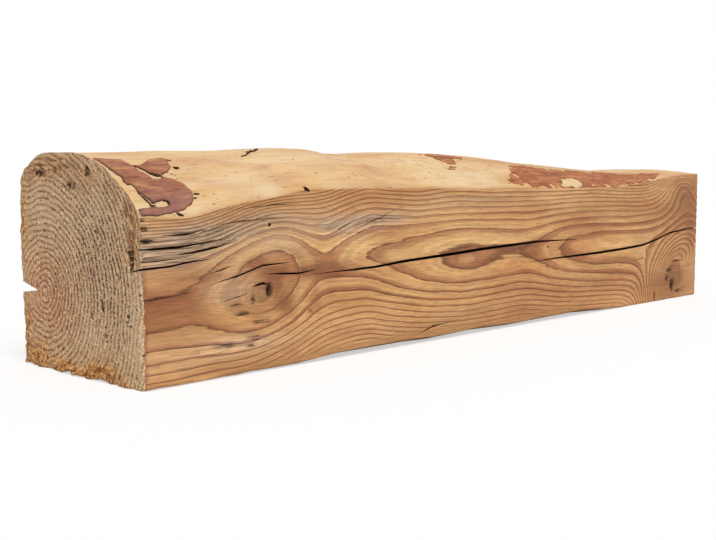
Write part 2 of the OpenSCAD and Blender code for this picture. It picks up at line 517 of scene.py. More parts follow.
# Hearts of the knots
KNOT_HEARTS = [(122, 69, 9, 8, 1.0), (963, 144, 6, 12, 0.9), (930, 36, 16, 14, 0.6)]
# Torn grain: the strength is the depth in millimetres
TORN_PATCHES = [
    (91, 29, 11, 3, 1.4), (117, 32, 11, 3, 1.6), (104, 55, 8, 2, 1.6), (125, 45, 11, 2.6, 2.4),
    (113, 25, 7, 2, 1.8), (100, 62, 8, 2, 1.4), (186, 50, 5, 4, 1.6), (926, 21, 4, 8, 5),
    (916, 44, 7, 2, 3.5), (908, 32, 3, 4, 3), (940, 56, 14, 2, 2.5), (948, 10, 14, 1.6, 2.5),
    (872, 8, 1.8, 7, 4), (978, 47, 9, 1.6, 2), (3, 133, 5, 2, 3), (4, 123, 7, 2, 3.5),
    (2, 140, 4, 2, 2.5), (135.5, 74.5, 3, 5.5, 7), (116, 66, 2, 5, 2), (90, 70, 24, 15, 0.7),
    (62, 27, 44, 9, 0.7), (130, 50, 22, 6, 0.8), (925, 30, 22, 20, 0.9),
]
# Height of the smooth worn band above the bed along the beam
WEAR_LINE = [
    (0, 2), (130, 3), (225, 12), (330, 15), (460, 10), (560, 13), (610, 15), (680, 8), (800, 3), (1000, 3),
]
FRONT_REACH = 30
# Distances below and above the edge of the worn band over which it fades
BAND_BELOW, BAND_ABOVE = 2, 3
# Patchiness of the masks and wander of the worn band: span, size of the cells, seed
GREY_PATCHY = (0.9, (45, 40, 7), 11)
BROWN_PATCHY = (0.6, (60, 40, 9), 12)
BAND_WANDER = (5, (50, 40, 40), 13)
TORN_PATCHY = (1.1, (9, 20, 3), 14)
# Mean strength of torn grain and pits once they are patchy
TORN_MEAN = 0.95


def front_masks(places):
    """Weathering, heartwood, knots and wear from 0 to 1, and torn grain in millimetres."""
    along, depth, height = places.T
    near_front = np.exp(-(depth / FRONT_REACH) ** 2)
    ragged = 1 + uneven(places, GREY_PATCHY)
    streaked = 1 + uneven(places, BROWN_PATCHY)
    band = smooth_line(WEAR_LINE, along) + uneven(places, BAND_WANDER)
    rubbed = spots(along, height, RUBBED_PATCHES) + 1 - fade(height, band - BAND_BELOW, band + BAND_ABOVE)
    masks = {
        "grey": np.clip(spots(along, height, GREY_PATCHES) * ragged, 0, 1),
        "brown": np.clip(spots(along, height, BROWN_PATCHES) * streaked, 0, 1),
        "honey": np.clip(spots(along, height, HONEY_PATCHES) * ragged, 0, 1),
        "knot": np.clip(spots(along, height, KNOT_HEARTS), 0, 1),
        "worn": np.clip(rubbed, 0, 1),
        "torn": spots(along, height, TORN_PATCHES) * (TORN_MEAN + uneven(places, TORN_PATCHY)),
    }
    return {name: mask * near_front for name, mask in masks.items()}


print("weathered and torn spots on the front face:", len(GREY_PATCHES), len(TORN_PATCHES))

# %% [markdown]
# ## Relief of the weathered wood
# Old softwood is never flat. The hard latewood stands proud of the soft earlywood, above all where
# the weather has worn it, and the natural top rolls gently as the trunk did. Each of these is a
# small push on the vertices, worked out from their place, so neighbouring faces stay joined.

# %% Relief of the front face and the natural top
RIDGE, GREY_RIDGE = 0.4, 1.0
FIBRE, GREY_FIBRE = 0.2, 1.2
KNOT_RISE = 0.24
# Uneven surfaces: span in millimetres, size of the cells, seed
FRONT_HOLLOWS = (1.4, (120, 80, 60), 21)
FRONT_FIBRES = (1, (40, 30, 3.4), 22)
KNOT_GRAIN = (1.2, (4, 20, 4), 24)
TOP_WAVES = [(1.6, (85, 38, EVEN), 31), (0.8, (40, 9, EVEN), 32), (0.3, (22, 4.5, EVEN), 33)]
# Scoops in the natural top, and two swellings: distance along, depth behind the front, reaches, depth
TOP_SCOOPS = [
    (330, 30, 40, 22, 1.5), (465, 25, 60, 16, 1.2), (120, 30, 30, 18, 0.8), (745, 22, 60, 14, 1.0),
    (300, 130, 34, 50, 1.4), (314, 140, 14, 70, 1.8), (277, 96, 7, 50, 4.0), (290, 100, 10, 60, 3.4),
    (20, 197, 90, 9, -5), (200, 112, 48, 36, -1.4),
]


def front_relief(places, rings, masks):
    """How far the front face stands out of its plane, in millimetres."""
    hollow = uneven(places, FRONT_HOLLOWS)
    ridges = (latewood(rings) - 0.5) * (RIDGE + GREY_RIDGE * masks["grey"]) * (1 - masks["worn"])
    fibres = uneven(places, FRONT_FIBRES) * (FIBRE + GREY_FIBRE * masks["grey"])
    knot_rim = masks["knot"] * (KNOT_RISE + uneven(places, KNOT_GRAIN))
    return hollow + ridges + fibres + knot_rim - masks["torn"]


def top_relief(places):
    """How far the natural top stands up, in millimetres."""
    along, depth, height = places.T
    return sum(uneven(places, recipe) for recipe in TOP_WAVES) - spots(along, depth, TOP_SCOOPS)


# Tan stains and bleached places of the natural top, in the same form, with strengths from 0 to 1
TOP_STAINS = [
    (75, 45, 30, 14, 0.35), (100, 60, 25, 12, 0.55), (205, 120, 50, 16, 0.6), (560, 62, 60, 14, 0.4),
    (680, 66, 110, 18, 0.7), (830, 58, 80, 16, 0.8), (920, 30, 40, 20, 0.6), (275, 6, 40, 5, 0.5),
    (345, 12, 12, 7, 0.3), (250, 85, 40, 12, 0.3), (400, 120, 70, 20, 0.35),
]
TOP_BLEACHED = [(142, 6, 14, 10, 0.9), (120, 25, 30, 16, 0.5), (460, 22, 40, 18, 0.8), (215, 55, 50, 25, 0.4)]
# Stain along the front edge of the top: strength and reach
EDGE_STAIN, EDGE_STAIN_REACH = 0.7, 6
# Patchiness of both: span, size of the cells, seed
TOP_PATCHY = (1.4, (24, 9, EVEN), 34)


def top_masks(places):
    """Stained and bleached parts of the natural top, from 0 to 1."""
    along, depth, height = places.T
    cloudy = 1 + uneven(places, TOP_PATCHY)
    edge_stain = EDGE_STAIN * (1 - fade(depth, 0, EDGE_STAIN_REACH))
    return {
        "stain": np.clip((spots(along, depth, TOP_STAINS) + edge_stain) * cloudy, 0, 1),
        "bleached": np.clip(spots(along, depth, TOP_BLEACHED) * cloudy, 0, 1),
    }


print("ridges stand", RIDGE, "mm proud, and", RIDGE + GREY_RIDGE, "mm where the wood is grey")

# %% [markdown]
# ## The sawn ends
# An end shows every ring of the tree. The saw leaves it fuzzy, the dry parts turn grey, and the
# edges crumble where the beam was dragged and dropped. The masks here are read across the end, by
# depth behind the front face and height above the bed.

# %% Masks and relief of the ends
END_RING = 5.4
END_PITH = (160, 70)
# Wander of the rings, patchiness of the masks and uneven surfaces: span, size of the cells, seed
END_WANDER = [(0.7, (EVEN, 40, 40), 41), (0.5, (EVEN, 13, 13), 49)]
END_CHIPS = (1.1, (EVEN, 11, 9), 42)
END_MOTTLE = (0.6, (EVEN, 30, 30), 43)
PIT_PATCHY = (1.1, (EVEN, 4, 4), 44)
END_FUZZ = [(0.9, (EVEN, 3, 3), 45), (0.7, (EVEN, 8, 8), 46)]
CRUMBS = (7, (EVEN, 5, 4), 47)
PULLED = (1.5, (EVEN, 6, 5), 48)
# Mean rise of the crumbs, mean depth of pulled fibre, and depth of the grooves with their shift in rings
CRUMB_RISE = 2.45
PULL_DEPTH = 0.75
GROOVE, GROOVE_SHIFT = 0.5, 0.3
# Open pits in the near end, painted near-black as shade where they are deepest: depth behind the front,
# height, reaches, depth of the pit
END_PITS = [
    (91, 120, 2.0, 2.6, 4), (83, 109, 1.6, 2.2, 3), (80, 54, 1.6, 6, 4), (62, 64, 1.6, 8, 4),
    (72, 53, 1.8, 3, 3), (144, 146, 5, 2.5, 2.5), (34, 93, 1.8, 5, 4), (84, 180, 4, 5, 4),
    (112, 168, 9, 4, 3), (17, 108, 3, 9, 6), (165, 180, 12, 3, 3), (22, 62, 1.6, 8, 2.5),
    (57, 36, 1.8, 6, 2.5), (60, 115, 1.6, 3, 3), (69, 128, 1.6, 2, 3), (0, 52, 2.4, 46, 0.6),
]
# Edges that crumble, in the same form, with strengths from 0 to 1
CRUMBLED = [
    (172, 8, 20, 14, 1.3), (120, 3, 26, 9, 1.1), (66, 6, 30, 13, 1.3), (30, 3, 11, 6, 0.7),
    (196, 140, 8, 40, 0.9), (194, 38, 9, 32, 0.85),
]
# Heights between which the crumbs become smaller, and by which share
CRUMB_TOP = (20, 60)
CRUMB_LOSS = 0.75
# Share of the crumbling and the pits that the far end shows, which was cut later
FRESH_CUT = 0.3
# Edges where rows of fibre have been pulled out along the rings, in the same form
STRINGY = [
    (140, 184, 50, 10, 1.0), (88, 172, 16, 10, 0.7), (20, 150, 8, 12, 0.8), (13, 128, 8, 18, 1.1),
    (15, 108, 6, 8, 0.9),
]
# Parts of the end that stand out, in the same form, in millimetres
END_BULGES = [(200, 112, 30, 76, 2.6), (150, 0, 60, 16, 2.0)]
# Pinkish heart, pale sapwood and the dry grey field, in the same form
HEART = [(152, 66, 42, 40, 1.1), (150, 100, 40, 18, 0.3)]
PALE_END = [(70, 32, 50, 24, 0.7), (8, 50, 13, 55, 1.0), (150, 140, 50, 26, 0.3), (72, 152, 16, 12, 0.6)]
DRY_END = [(70, 120, 50, 45, 1.2), (50, 70, 30, 30, 0.6)]


def end_masks(places):
    """Ring number round the pith on the sawn ends, with their masks from 0 to 1 and pits in millimetres."""
    along, depth, height = places.T
    distance = np.hypot(END_PITH[0] - depth, height - END_PITH[1])
    rings = distance / END_RING + sum(uneven(places, recipe) for recipe in END_WANDER)
    chipped = 1 + uneven(places, END_CHIPS)
    mottled = 1 + uneven(places, END_MOTTLE)
    worn = np.where(along < LENGTH / 2, 1, FRESH_CUT)
    return {
        "end_rings": rings,
        "crumbled": np.clip(spots(depth, height, CRUMBLED) * chipped * worn, 0, 1),
        "stringy": np.clip(spots(depth, height, STRINGY) * chipped * worn, 0, 1),
        "heart": np.clip(spots(depth, height, HEART) * mottled, 0, 1),
        "pale": np.clip(spots(depth, height, PALE_END), 0, 1),
        "dry": np.clip(spots(depth, height, DRY_END) * mottled, 0, 1),
        "pits": spots(depth, height, END_PITS) * (TORN_MEAN + uneven(places, PIT_PATCHY)) * worn,
    }


def end_relief(places, masks):
    """How far a sawn end is sunk behind its plane, in millimetres."""
    fuzz = sum(uneven(places, recipe) for recipe in END_FUZZ)
    grooves = GROOVE * (0.5 - latewood(masks["end_rings"] + GROOVE_SHIFT))
    loose = 1 - CRUMB_LOSS * fade(places[:, Z], *CRUMB_TOP)
    crumbs = masks["crumbled"] ** 2 * loose * (CRUMB_RISE + uneven(places, CRUMBS))
    pulled = masks["stringy"] * (PULL_DEPTH + uneven(places, PULLED))
    bulge = spots(places[:, Y], places[:, Z], END_BULGES)
    return fuzz + grooves - crumbs - bulge + pulled + masks["pits"]


print("crumbled spots on an end:", len(CRUMBLED), "pits:", len(END_PITS))

# %% [markdown]
# ## Pushing the vertices
# The pushes are added up on NumPy arrays, which is far quicker than a Python loop over vertices.
# Each push fades with the distance from its own face, so a vertex on an edge follows both faces.
# The front arris of the near end is rolled over first, as wear has rounded it below the grey ridges.

# %% Apply the relief and store the masks on the vertices
FRONT_FADE = 18.0
END_FADE = 7.0
LOWER_EDGE = 14.0
ARRIS_RADIUS = 6.0
ARRIS_LEAST = 0.8
ARRIS_TOP = (85, 105)
# Heights over which the relief of the top sets in, and its loss at the front face
TOP_FADE = (110, 150)
TOP_LOSS = 0.6
# Share of the relief of an end that the far end gets
FAR_END_SHARE = 0.5
# Waves and chips of the lower edges and the rough back: span in millimetres, size of the cells, seed
EDGE_WAVES = [(1.2, (60, 30, EVEN), 52), (0.8, (17, 30, EVEN), 53)]
EDGE_CHIPS = (5, (EVEN, 7, EVEN), 54)
BACK_FUZZ = (0.8, (30, EVEN, 9), 55)
# Mean rise of the waves and the chips, and mean sink of the back
WAVE_RISE, CHIP_RISE, BACK_SINK = 0.4, 0.5, 0.4
SHARP_TURN = math.radians(42)


def ease_arris(places):
    """Rolls the front arris of the near end over to a round one."""
    along, depth, height = places.T
    radius = ARRIS_LEAST + ARRIS_RADIUS * (1 - fade(height, *ARRIS_TOP))
    rolled = (np.minimum(along, depth) < FLAT) & (along < radius) & (depth < radius)
    turn = math.pi / 4 * (1 + (along - depth) / radius)
    eased = places.copy()
    eased[:, X] = np.where(rolled, radius * (1 - np.cos(turn)), along)
    eased[:, Y] = np.where(rolled, radius * (1 - np.sin(turn)), depth)
    return eased


def dress_body(mesh):
    """Moves the vertices of the beam and writes the masks that its materials read."""
    flat = np.empty(len(mesh.vertices) * 3)
    mesh.vertices.foreach_get("co", flat)
    places = beam_places(flat.reshape(-1, 3))
    along, depth, height = places.T
    rings = ring_number(places)
    masks = front_masks(places) | top_masks(places) | end_masks(places)
    by_front = 1 - fade(depth, 0, FRONT_FADE)
    by_back = fade(depth, WIDTH - FRONT_FADE, WIDTH)
    by_near_end = 1 - fade(along, 0, END_FADE)
    by_far_end = 1 - fade(LENGTH - along, 0, END_FADE)
    by_top = fade(height, *TOP_FADE)
    by_bed = 1 - fade(height, 0, LOWER_EDGE)
    push = ease_arris(places) - places
    push[:, Y] -= by_front * front_relief(places, rings, masks)
    push[:, Z] += by_top * top_relief(places) * (1 - TOP_LOSS * by_front)
    push[:, X] += (by_near_end - by_far_end * FAR_END_SHARE) * end_relief(places, masks)
    waves = WAVE_RISE + sum(uneven(places, recipe) for recipe in EDGE_WAVES)
    push[:, Z] += by_front * by_bed * waves
    chips = CHIP_RISE + uneven(places, EDGE_CHIPS)
    push[:, Z] += by_near_end * by_bed * masks["crumbled"] * chips
    push[:, Y] -= by_back * (BACK_SINK + uneven(places, BACK_FUZZ))
    masks["saw"] = np.maximum(by_back, by_bed * (1 - by_front))
    mesh.vertices.foreach_set("co", ((places + push) * MM + np.array(low_corner)).ravel())
    for name, values in ({"rings": rings} | masks).items():
        mesh.attributes.new(name, "FLOAT", "POINT").data.foreach_set("value", values)
    mesh.update()


body.to_mesh(beam.data)
body.free()
dress_body(beam.data)
beam.data.polygons.foreach_set("use_smooth", [True] * len(beam.data.polygons))
beam.data.set_sharp_from_angle(angle=SHARP_TURN)
print("beam vertices:", len(beam.data.vertices), "masks:", len(beam.data.attributes))

# %% [markdown]
# ## Bark that still clings to the top
# Thin reddish flakes of inner bark are left on the natural top. A flake is a ragged sheet that
# lies on the wood. Here a fine grid is laid over its outline, dropped onto the beam, trimmed where
# noise makes the outline ragged, and then given its thickness by an extrusion. Each vertex also
# keeps its distance from the torn inner edges, so that the material can paint shade along them.

# %% Flakes as trimmed grids
beam_tree = BVHTree.FromObject(beam, bpy.context.evaluated_depsgraph_get())
FLAKE_SINK = 0.6
FLAKE_MARGIN = 4
NEAR_END_GAP = 1.5
DOWN = Vector((0, 0, -1))
RAY_START = Vector((0, 0, 1))
# A ray that runs exactly along an edge of the mesh can slip past it, so each ray is moved a hair
RAY_SHIFT = Vector((0.031, 0.017, 0)) * MM
# Distance at which the outer edge of a flake counts as lying from its inner edges, along which shade is
# painted
OUTER_RIM = 0.7
# Noise that tears the edges, opens holes and lifts a flake: size of the cells
TEAR_CELLS = [(9, 5, EVEN), (3.2, 2.4, EVEN)]
HOLE_CELL = (11, 6, EVEN)
LIFT_CELL = (14, 10, EVEN)
# Range of the noise over which a hole opens, and least and spread of the lift as shares of the thickness
HOLE_RANGE = (0.55, 0.8)
LIFT_LEAST, LIFT_SPREAD = 0.6, 0.8
EDGE_SMOOTHING = 0.5
FLAKE_SHARP_TURN = math.radians(40)


def inside_outline(points, outline):
    """Distance inside a closed outline, negative outside, in millimetres."""
    starts = np.array(outline, float)
    ends = np.roll(starts, -1, axis=0)
    nearest = np.full(len(points), np.inf)
    inside = np.zeros(len(points), bool)
    for start, end in zip(starts, ends):
        side = end - start
        share = np.clip((points - start) @ side / (side @ side), 0, 1)
        nearest = np.minimum(nearest, np.linalg.norm(points - start - share[:, None] * side, axis=1))
        spans = (start[1] > points[:, 1]) != (end[1] > points[:, 1])
        slope = side[0] / side[1] if side[1] else 0.0
        inside ^= spans & (points[:, 0] < start[0] + (points[:, 1] - start[1]) * slope)
    return np.where(inside, nearest, -nearest)


def flake_room(places, outlines, gaps, ragged, speckle, seed):
    """Room inside a flake whose edge noise has torn, and the distance from its inner edges, where shade is
    painted.
    """
    plan = places[:, :2]
    tear = sum(uneven(places, (ragged, cell, seed + step)) for step, cell in enumerate(TEAR_CELLS))
    holes = speckle * fade(noise_at(places, HOLE_CELL, seed + 2), *HOLE_RANGE)
    room = np.max([inside_outline(plan, outline) for outline in outlines], axis=0) + tear - holes
    rim = room + OUTER_RIM
    for gap in gaps:
        from_gap = tear - inside_outline(plan, gap)
        room = np.minimum(room, from_gap)
        rim = np.minimum(rim, from_gap)
    return np.where(places[:, X] < NEAR_END_GAP, -1, room), np.maximum(rim, 0)


def flake(name, outlines, gaps=(), pitch=1.0, thickness=1.0, ragged=2.0, speckle=0.0, seed=0):
    """A ragged sheet on the natural top: outlines and gaps are plan places in millimetres."""
    points = np.concatenate(outlines)
    corner, far_corner = points.min(axis=0) - FLAKE_MARGIN, points.max(axis=0) + FLAKE_MARGIN
    steps = np.ceil((far_corner - corner) / pitch).astype(int)
    bm = bmesh.new()
    rim = bm.verts.layers.float.new("rim")
    edge = bm.verts.layers.float.new("edge")
    bmesh.ops.create_grid(bm, x_segments=steps[0], y_segments=steps[1], size=0.5)
    bmesh.ops.scale(bm, vec=Vector((*(far_corner - corner), 0)) * MM, verts=bm.verts)
    middle = low_corner + Vector((*(far_corner + corner) / 2, 0)) * MM
    bmesh.ops.translate(bm, vec=middle, verts=bm.verts)
    places = beam_places([vert.co for vert in bm.verts])
    kept = set()
    for vert, room, dark in zip(bm.verts, *flake_room(places, outlines, gaps, ragged, speckle, seed)):
        vert[edge] = max(room, 0)
        vert[rim] = dark
        hit, _, index, _ = beam_tree.ray_cast(vert.co + RAY_SHIFT + RAY_START, DOWN)
        lands = hit is not None and beam.data.polygons[index].material_index == NATURAL_TOP
        if lands and room > 0:
            kept.add(vert)
            vert.co.z = hit.z
    loose = [face for face in bm.faces if not all(vert in kept for vert in face.verts)]
    bmesh.ops.delete(bm, geom=loose, context="FACES")
    while pinched := [vert for vert in bm.verts if sum(side.is_boundary for side in vert.link_edges) > 2]:
        round_them = list(dict.fromkeys(face for vert in pinched for face in vert.link_faces))
        bmesh.ops.delete(bm, geom=round_them, context="FACES")
    torn_edge = [vert for vert in bm.verts if vert.is_boundary]
    bmesh.ops.smooth_vert(
        bm, verts=torn_edge, factor=EDGE_SMOOTHING, use_axis_x=True, use_axis_y=True, use_axis_z=True
    )
    bm.normal_update()
    bottom = bm.faces[:]
    grown = bmesh.ops.extrude_face_region(bm, geom=bottom, use_keep_orig=True)["geom"]
    upper = [part for part in grown if isinstance(part, bmesh.types.BMVert)]
    normals = [vert.normal.copy() for vert in upper]
    lifts = noise_at(beam_places([vert.co for vert in upper]), LIFT_CELL, seed + 3)
    for vert, normal, lift in zip(upper, normals, lifts):
        rise = thickness * (LIFT_LEAST + LIFT_SPREAD * lift) * min(vert[edge] / thickness, 1)
        vert.co += normal * rise * MM
    lower = list(dict.fromkeys(vert for face in bottom for vert in face.verts))
    bmesh.ops.translate(bm, vec=DOWN * FLAKE_SINK * MM, verts=lower)
    bmesh.ops.recalc_face_normals(bm, faces=bm.faces)
    open_edges = sum(not part.is_manifold for part in bm.edges)
    made = new_object(name, bm)
    made.data.polygons.foreach_set("use_smooth", [True] * len(made.data.polygons))
    made.data.set_sharp_from_angle(angle=FLAKE_SHARP_TURN)
    print(name, "faces:", len(made.data.polygons), "open edges:", open_edges)
    return made


# %% The flakes of this beam
# Outlines in plan: distance along the beam, depth behind the front face
NEAR_BARK = [
    (-4, 75), (16, 74), (27, 72), (31, 60), (37, 60), (45, 64), (55, 71), (70, 74), (76, 67), (69, 62),
    (67, 53), (58, 45), (53, 43), (48, 40), (55, 37), (59, 32), (63, 28), (65, 20), (63, 14), (56, 8),
    (48, 6), (36, 4.5), (24, 2.6), (8, 0.8), (2, 1.5), (-4, 2),
]
NEAR_BARK_GAPS = [
    [(31, 57), (34, 52), (38, 46), (46, 39.5), (44, 37.5), (37, 38), (35, 45), (32, 51)],
    [(-6, 66), (2, 60), (3, 50), (6, 42), (7.5, 40), (5, 33.5), (6.6, 29), (10.6, 29.6), (11.6, 26),
     (10.5, 23), (15, 19), (17, 14.5), (18, 12), (22, 11.5), (29, 14), (35, 13), (34.5, 11), (30, 9.6),
     (17, 9.4), (7, 8), (2.5, 6.4), (-6, 6)],
]
FAR_BARK = [
    (512, 8), (550, 2), (640, -3), (810, -3), (855, 0), (885, 7), (925, 24), (905, 46), (800, 54),
    (680, 52), (610, 60), (560, 46), (540, 24),
]
FAR_BARK_GAPS = [
    [(648, 18), (684, 20), (680, 8), (655, 3), (630, 6)],
    [(776, 3), (800, 4), (798, 0), (778, 0)],
]
CREST_BARK = [
    (436, 80), (470, 82), (514, 76), (500, 64), (474, 54), (462, 42), (434, 26), (428, 30), (447, 47),
    (442, 58),
]
# Dark splinters of the near bark and dark sheets painted as the shadow under its lifted torn edges, and two
# along the crest where a layer has lifted
SPLINTERS_AND_SHADOWS = [
    [(67, 53), (73, 51), (73, 48.5), (68, 47.5)], [(70, 70), (77, 68), (77, 65.5), (72, 66.5)],
    [(56, 45), (61, 38), (62, 38.5), (58, 46)], [(59, 35), (63, 30.5), (64, 31.5), (60, 36)],
    [(64, 18.5), (71, 17), (71, 15), (64.5, 16)], [(61, 14.5), (66, 14), (65.5, 12), (61, 12.5)],
    [(36, 5), (38, 1.5), (43, 0.8), (44, 3), (40, 5.2)],
    [(33, 54.8), (38, 53), (40.6, 46), (43.3, 43), (46, 39), (43.6, 39.6), (38.2, 43.8), (35.2, 50)],
    [(10.4, 23.4), (13.4, 21.2), (15.6, 18.6), (16.6, 14.8), (18.4, 11.5), (15.4, 11.2), (13.6, 14.6),
     (11.6, 18.6)],
    [(15.6, 11.6), (20.2, 11.4), (25.8, 11.4), (20, 8.9), (15.2, 9)],
    [(30.2, 15), (35.8, 16), (37.6, 12.7), (34.8, 9.8), (32.6, 10.6), (33.6, 12.7), (30.6, 12.6)],
    [(157, 69), (166, 73), (178, 83), (190, 94), (191, 90), (179, 80), (167, 70), (158, 66.5)],
    [(178, 86), (188, 88), (205, 103), (206, 99), (190, 84), (178, 83)],
]

near_bark = flake("bark_near_end", [NEAR_BARK], NEAR_BARK_GAPS, 0.8, 1.3, ragged=0.9, seed=101)
far_bark = flake("bark_far_strip", [FAR_BARK], FAR_BARK_GAPS, 1.6, 0.6, ragged=5.0, speckle=8.0, seed=111)
crest_bark = flake("bark_crest_patch", [CREST_BARK], (), 1.4, 0.7, ragged=6.0, speckle=6.0, seed=121)
# Dark splinters and sheets of painted shadow under the lifted edges of the bark
splinters_and_shadows = flake("bark_splinters_and_shadows", SPLINTERS_AND_SHADOWS, (), 0.7, 0.9, ragged=0.8, seed=131)

# %% [markdown]
# ## Helpers for the materials
# A material is a graph of nodes. One small function adds a node, sets its values and links its
# inputs, so that a graph reads from top to bottom like a recipe. Colours are written as the hex
# values that an eye-dropper shows, and one function turns them into the linear light of the shader.
# The other helpers loop over short lists: what a surface carries, colour layers, tints and bumps.

# %% Node helper, colours and pattern sizes
# Sockets of the Map Range node, and of the Mix node when it mixes colours
VALUE, LOW, HIGH, TO_LOW, TO_HIGH = range(5)
SHARE, MIX_A, MIX_B, MIXED = 0, 6, 7, 2


def linear(hex_colour):
    """Linear colour from an sRGB hex value such as #d4a86c."""
    parts = [int(hex_colour[i:i + 2], 16) / 255 for i in (1, 3, 5)]
    return (*[p / 12.92 if p <= 0.04045 else ((p + 0.055) / 1.055) ** 2.4 for p in parts], 1.0)


def grey(value):
    """A plain linear grey."""
    return (value, value, value, 1.0)


def add(tree, kind, inputs, out=0, stops=(), **settings):
    """Adds a node and returns one of its outputs. Inputs are values or outputs to link from."""
    node = tree.nodes.new("ShaderNode" + kind)
    for name, value in settings.items():
        setattr(node, name, value)
    for index, (position, colour) in enumerate(stops):
        ramp = node.color_ramp.elements
        stop = ramp[index] if index < 2 else ramp.new(position)
        stop.position = position
        stop.color = colour
    for socket, value in inputs.items():
        if isinstance(value, bpy.types.NodeSocket):
            tree.links.new(value, node.inputs[socket])
        else:
            node.inputs[socket].default_value = value
    return node.outputs[out]


def new_material(name):
    """A material with its node tree and its shader."""
    material = bpy.data.materials.new(name)
    material.use_nodes = True
    return material, material.node_tree, material.node_tree.nodes["Principled BSDF"]


def carried(tree, masks, recipes):
    """What a surface carries, by name: masks of its vertices, and noise by size along X, Y, Z and detail."""
    made = {name: add(tree, "Attribute", {}, out="Fac", attribute_name=name) for name in masks}
    place = add(tree, "TexCoord", {}, out="Object")
    for name, (*sizes, detail) in recipes.items():
        scale = [1 / (size * MM) for size in sizes]
        scaled = add(tree, "VectorMath", {0: place, 1: scale}, operation="MULTIPLY")
        made[name] = add(tree, "TexNoise", {"Vector": scaled, "Scale": 1.0, "Detail": detail})
    return made


def layered(tree, colour, layers):
    """Lays colours over a first one: a mask, the range it is read over, its share at the top, a colour."""
    for mask, low, high, share, over in layers:
        factor = add(tree, "MapRange", {VALUE: mask, LOW: low, HIGH: high, TO_HIGH: share})
        inputs = {SHARE: factor, MIX_A: colour, MIX_B: over}
        colour = add(tree, "Mix", inputs, out=MIXED, data_type="RGBA")
    return colour


def tinted(tree, colour, tints):
    """Darkens and lightens a colour by patterns: a pattern, its range, and the tints at both ends."""
    for pattern, low, high, dark, bright in tints:
        tint = add(tree, "MapRange", {VALUE: pattern, LOW: low, HIGH: high, TO_LOW: dark, TO_HIGH: bright})
        inputs = {SHARE: 1.0, MIX_A: colour, MIX_B: tint}
        colour = add(tree, "Mix", inputs, out=MIXED, data_type="RGBA", blend_type="MULTIPLY")
    return colour


def coat(tree, shader, colour, heights, distance, roughness, gloss):
    """Gives a shader its colour, a bump in millimetres from weighted patterns, and its constants."""
    height = 0.0
    for pattern, share in heights:
        height = add(tree, "Math", {0: pattern, 1: share, 2: height}, operation="MULTIPLY_ADD")
    bump = add(tree, "Bump", {"Strength": 1.0, "Distance": distance * MM, "Height": height})
    tree.links.new(colour, shader.inputs["Base Color"])
    tree.links.new(bump, shader.inputs["Normal"])
    shader.inputs["Roughness"].default_value = roughness
    shader.inputs["Specular IOR Level"].default_value = gloss


print("honey pine in linear light:", [round(part, 3) for part in linear("#d4a86c")])

# %% [markdown]
# ## Sawn pine
# The long faces show pine as the saw and the weather left it: honey-coloured earlywood, red-brown
# latewood that ends in a crisp dark line, and fine fibres along the grain. That dark line is partly
# painted shade of the step where the proud latewood drops away. Where the wood is most weathered,
# the grooves carry painted shade and the ridges between them painted highlights, and the deepest
# tears are painted near-black as shade. The ring number on the vertices gives the figure. Streaks
# that are read along the beam and across the rings follow the grain round each knot, and one random
# number per ring makes some years darker and wider than others.

# %% Material of the sawn faces
LATE_STOPS = [(0, 0), (0.48, 0.03), (0.62, 0.7), (0.75, 1), (0.95, 1), (1, 0)]
EDGE_STOPS = [(0.84, 0), (0.93, 1), (0.97, 1), (1, 0)]
# Streaks along the rings: length in millimetres, streaks in each ring, detail
RING_STREAKS = {"pencil": (120, 6, 4), "groove": (40, 5, 4)}
# How far two patterns push the rings aside, in rings
RING_SHIFTS = {"wander": 0.2, "fibre": 0.14}


